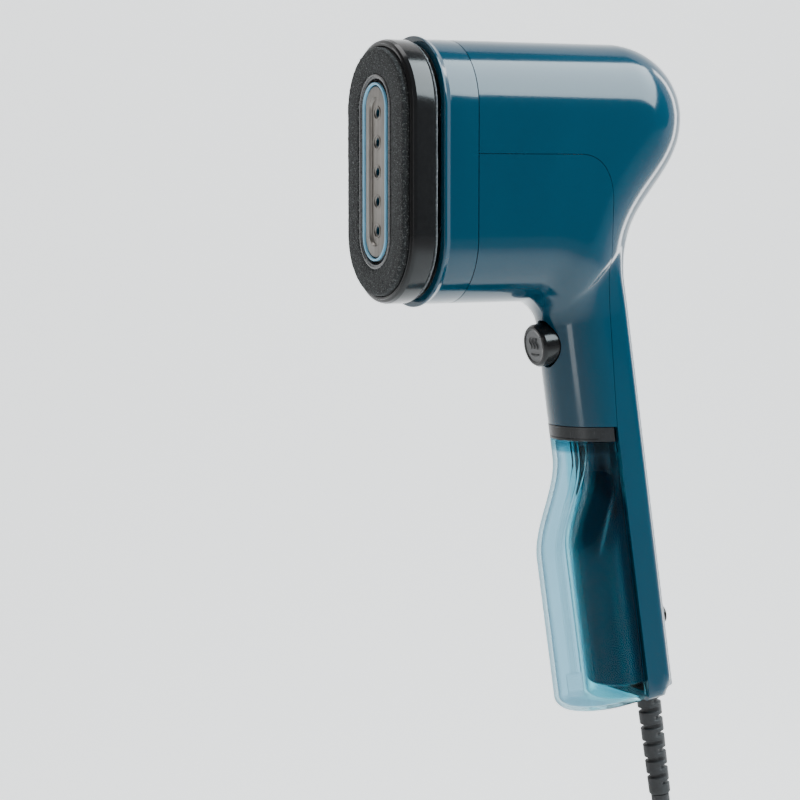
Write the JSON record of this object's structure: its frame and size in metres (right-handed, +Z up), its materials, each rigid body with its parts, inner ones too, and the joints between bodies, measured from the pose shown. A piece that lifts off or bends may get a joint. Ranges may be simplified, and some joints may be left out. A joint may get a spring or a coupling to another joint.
{
  "type": "garment steamer",
  "caption": "Handheld garment steamer with an upright oval steam head, padded steam face, pistol grip with trigger, clear water tank in the grip and a mains cord.",
  "frame": {"origin": "middle of the grip on the handle's centre line, where the hand holds the steamer", "axes": "+Z up along the upright body, -Y towards the steam face, +X to the side; the handle leans 8.5 degrees, its foot towards +Y"},
  "size_m": [0.0512, 0.1354, 0.5302],
  "materials": {
    "shell": "gloss",
    "gloss_black": "gloss",
    "dark_plastic": "matte",
    "pad_felt": "felt",
    "rim_blue": "satin",
    "steam_plate": "satin, warm grey coating",
    "cast_aluminium": "cast",
    "steel": "satin",
    "silicone": "satin",
    "white_plastic": "matte",
    "copper": "wound wire",
    "tank_clear": "clear, tinted",
    "seal_rubber": "matte",
    "brass": "satin",
    "board_green": "satin",
    "wire_brown": "satin",
    "wire_blue": "satin",
    "cord_rubber": "matte",
    "tie_rubber": "matte"
  },
  "bodies": {
    "body": {"head_collar": "shell", "front_shell": "shell", "rear_shell": "shell", "bulkhead_screw_1": "steel", "bulkhead_screw_2": "steel", "bulkhead_screw_3": "steel", "bulkhead_screw_4": "steel", "front_bulkhead": "dark_plastic", "nozzle_sleeve": "gloss_black", "nozzle_rim": "rim_blue", "steam_plate": "steam_plate", "steam_chamber": "cast_aluminium", "boiler_block": "cast_aluminium", "heating_element": "steel", "boiler_gasket": "silicone", "boiler_cover": "cast_aluminium", "thermostat": "steel", "thermal_fuse": "white_plastic", "boiler_screw_1": "steel", "boiler_screw_2": "steel", "pump_body": "white_plastic", "pump_coil": "copper", "outlet_tube": "silicone", "inlet_tube": "silicone", "tank_bay": "shell", "tank_socket": "dark_plastic", "grip_floor": "dark_plastic", "trigger_guide": "dark_plastic", "trigger_spring": "steel", "trigger_switch": "dark_plastic", "spring_seat": "dark_plastic", "circuit_board": "board_green", "board_relay": "dark_plastic", "board_capacitor": "copper", "power_switch": "dark_plastic", "live_wire": "wire_brown", "neutral_wire": "wire_blue", "cord_clamp": "dark_plastic", "strain_relief": "cord_rubber", "cord_lead": "cord_rubber", "cord_hank": "cord_rubber", "cord_tie": "tie_rubber", "plug_body": "cord_rubber", "plug_pin_left": "brass", "plug_pin_right": "brass", "cord_tail": "cord_rubber"},
    "trigger": {"trigger_button": "gloss_black"},
    "power_key": {"power_button": "gloss_black"},
    "tank": {"water_tank": "tank_clear", "tank_cap": "gloss_black", "tank_valve": "white_plastic", "tank_seal": "seal_rubber", "pickup_tube": "silicone", "pickup_filter": "silicone"},
    "pad_unit": {"pad_frame": "gloss_black", "steam_pad": "pad_felt", "lint_pad": "pad_felt", "pad_inner_lip": "dark_plastic"}
  },
  "joints": [
    {"name": "trigger_press", "type": "slide", "parent": "body", "child": "trigger", "axis": [0, 0.989, 0.1478], "range_m": [0, 0.003], "stiffness_N_per_m": 300, "springref_m": -0.003},
    {"name": "power_press", "type": "slide", "parent": "body", "child": "power_key", "axis": [0, -0.989, -0.1478], "range_m": [0, 0.0015], "stiffness_N_per_m": 400, "springref_m": -0.002},
    {"name": "tank_release", "type": "slide", "parent": "body", "child": "tank", "axis": [0, -0.989, -0.1478], "range_m": [0, 0.03]},
    {"name": "pad_release", "type": "slide", "parent": "body", "child": "pad_unit", "axis": [0, -1, 0], "range_m": [0, 0.03]}
  ]
}
